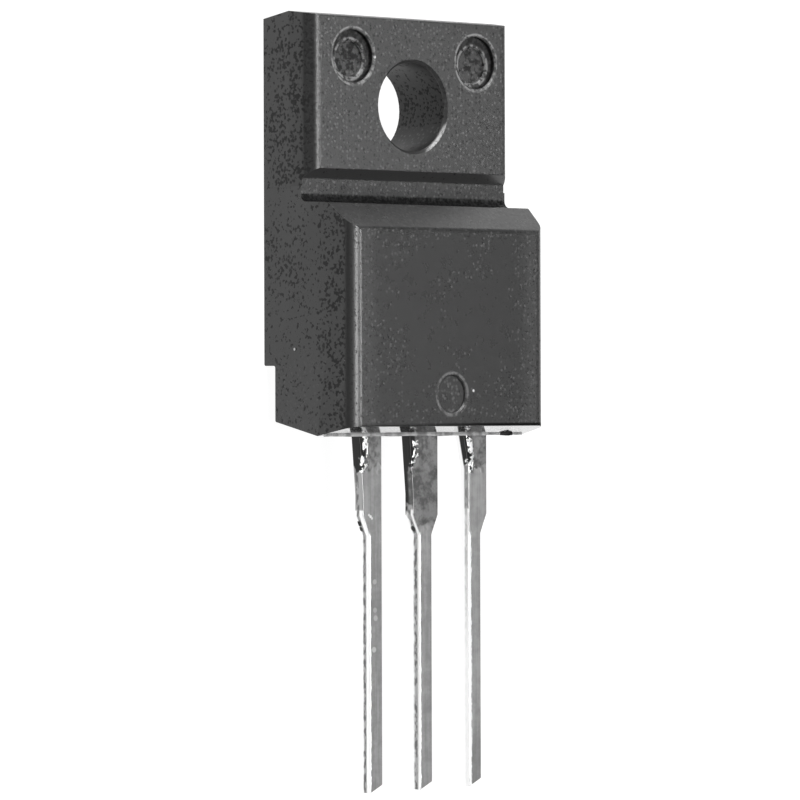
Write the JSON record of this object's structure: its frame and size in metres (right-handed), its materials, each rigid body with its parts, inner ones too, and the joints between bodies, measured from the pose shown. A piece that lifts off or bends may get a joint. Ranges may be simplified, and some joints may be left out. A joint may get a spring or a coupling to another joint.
{
  "type": "power transistor",
  "caption": "Fully moulded power transistor: black epoxy case with a screw tab, cross groove and stepped body, and straight tinned legs with shoulders, lying on its back.",
  "frame": {"origin": "where the axis of the screw hole meets the flat back face", "axes": "+X to the right seen from the front with the legs pointing down, +Y from the legs towards the end of the tab, +Z out of the front face"},
  "size_m": [0.0104, 0.0292, 0.0047],
  "materials": {
    "epoxy": "matt moulded epoxy",
    "tinned_copper": "dull tin plate over copper",
    "solder": "dull solder",
    "silicon": "polished silicon",
    "bond_wire": "drawn aluminium wire"
  },
  "bodies": {
    "root": {"moulded_case": "epoxy", "drain_frame": "tinned_copper", "gate_lead": "tinned_copper", "source_lead": "tinned_copper", "silicon_die": "silicon", "die_solder": "solder", "gate_wire": "bond_wire", "source_wire": "bond_wire"}
  },
  "joints": []
}
